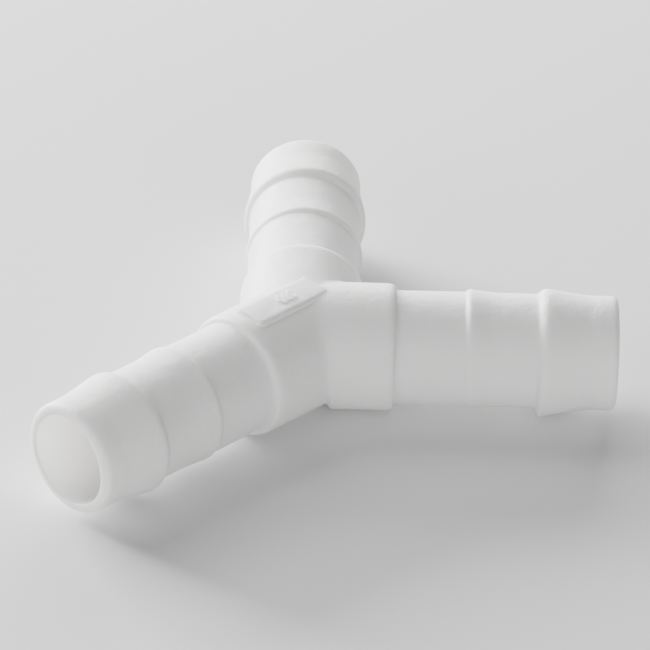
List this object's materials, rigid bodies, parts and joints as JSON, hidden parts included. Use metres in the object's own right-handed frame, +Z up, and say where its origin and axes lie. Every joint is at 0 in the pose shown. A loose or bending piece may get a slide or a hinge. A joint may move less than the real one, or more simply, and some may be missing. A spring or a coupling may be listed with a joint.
{
  "type": "barbed wye hose connector",
  "caption": "One-piece hollow wye fitting: barbed hose arms with stop collars meet at a hub, and a flat marking pad lies along the top.",
  "frame": {"origin": "centre of the footprint, on the surface that the connector lies on; the arms' axes meet 6.9 mm above it, at X = Y = -2.86 mm", "axes": "+X along the side arm from the hub, +Y along the rear arm from the hub, +Z up, square to the plane of the three arms, on the marking pad's side; the branch arm points to -X -Y"},
  "size_m": [0.0602, 0.0602, 0.0137],
  "materials": {
    "white_plastic": "natural white moulded plastic with a fine matte grain"
  },
  "bodies": {
    "root": {"connector_body": "white_plastic"}
  },
  "joints": []
}
